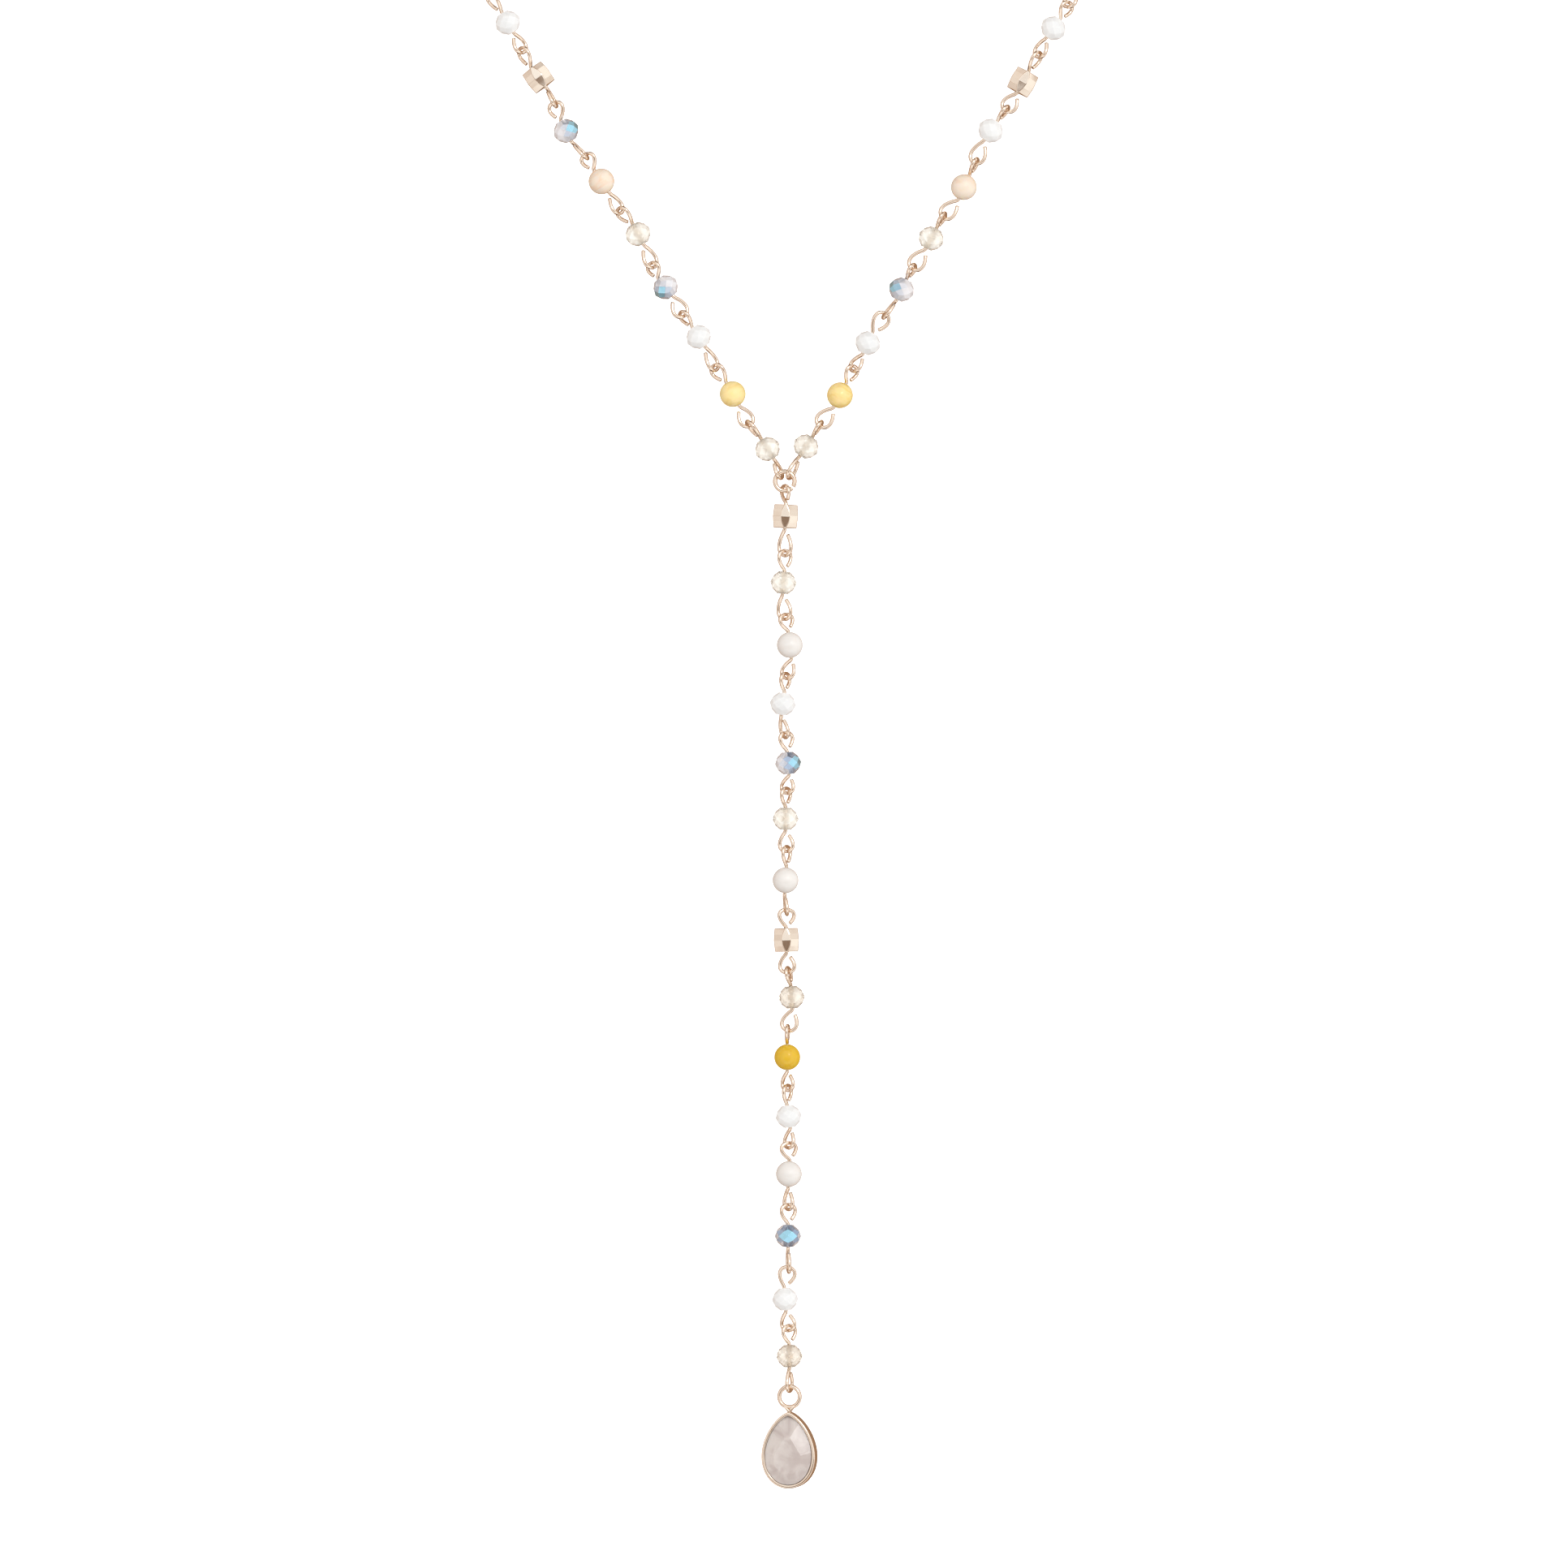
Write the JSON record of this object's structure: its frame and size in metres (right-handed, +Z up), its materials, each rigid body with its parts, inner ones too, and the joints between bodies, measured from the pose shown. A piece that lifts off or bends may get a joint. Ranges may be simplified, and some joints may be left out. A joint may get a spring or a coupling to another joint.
{
  "type": "lariat necklace",
  "caption": "Y-shaped lariat necklace of small faceted and round stone beads linked by eye pins, with a jump ring, a long drop and a pear-shaped stone pendant.",
  "frame": {"origin": "the middle of the barrel clasp at the nape, where the loop rests on the neck", "axes": "+Z up, -Y the way the wearer faces, +X to the viewer's right seen from the front; the drop hangs down along -Z in the front plane"},
  "size_m": [0.1018, 0.0888, 0.278],
  "materials": {
    "rose_gold": "polished pale rose-gold plate",
    "opal": "milky, polished facets",
    "champagne": "clear champagne tint, polished facets",
    "blue": "clear with a sky-blue coat on one half",
    "moonstone": "polished, faint bands",
    "peach": "polished, soft bands",
    "yellow": "polished",
    "quartz": "cloudy grey-pink, cut and polished"
  },
  "bodies": {
    "necklace": {"bead_left_1": "champagne", "bead_left_2": "yellow", "bead_left_3": "opal", "bead_left_4": "blue", "bead_left_5": "champagne", "bead_left_6": "peach", "bead_left_7": "blue", "bead_left_8": "rose_gold", "bead_left_9": "opal", "bead_right_1": "champagne", "bead_right_2": "yellow", "bead_right_3": "opal", "bead_right_4": "blue", "bead_right_5": "champagne", "bead_right_6": "peach", "bead_right_7": "opal", "bead_right_8": "rose_gold", "bead_right_9": "opal", "bead_drop_1": "rose_gold", "bead_drop_2": "champagne", "bead_drop_3": "moonstone", "bead_drop_4": "opal", "bead_drop_5": "blue", "bead_drop_6": "champagne", "bead_drop_7": "moonstone", "bead_drop_8": "rose_gold", "bead_drop_9": "champagne", "bead_drop_10": "yellow", "bead_drop_11": "opal", "bead_drop_12": "moonstone", "bead_drop_13": "blue", "bead_drop_14": "opal", "bead_drop_15": "champagne", "beads_back_champagne": "champagne", "beads_back_yellow": "yellow", "beads_back_opal": "opal", "beads_back_blue": "blue", "beads_back_peach": "peach", "beads_back_nugget": "rose_gold", "pins_left": "rose_gold", "pins_right": "rose_gold", "pins_drop": "rose_gold", "pins_back_left": "rose_gold", "pins_back_right": "rose_gold", "junction_ring": "rose_gold", "clasp": "rose_gold"},
    "pendant": {"pendant_setting": "rose_gold", "pendant_stone": "quartz"}
  },
  "joints": [
    {"name": "pendant_swing", "type": "hinge", "parent": "necklace", "child": "pendant", "pos_m": [0.00072, -0.08474, -0.26053], "axis": [0.9848, -0.1736, 0], "range_deg": [-90, 90]}
  ]
}
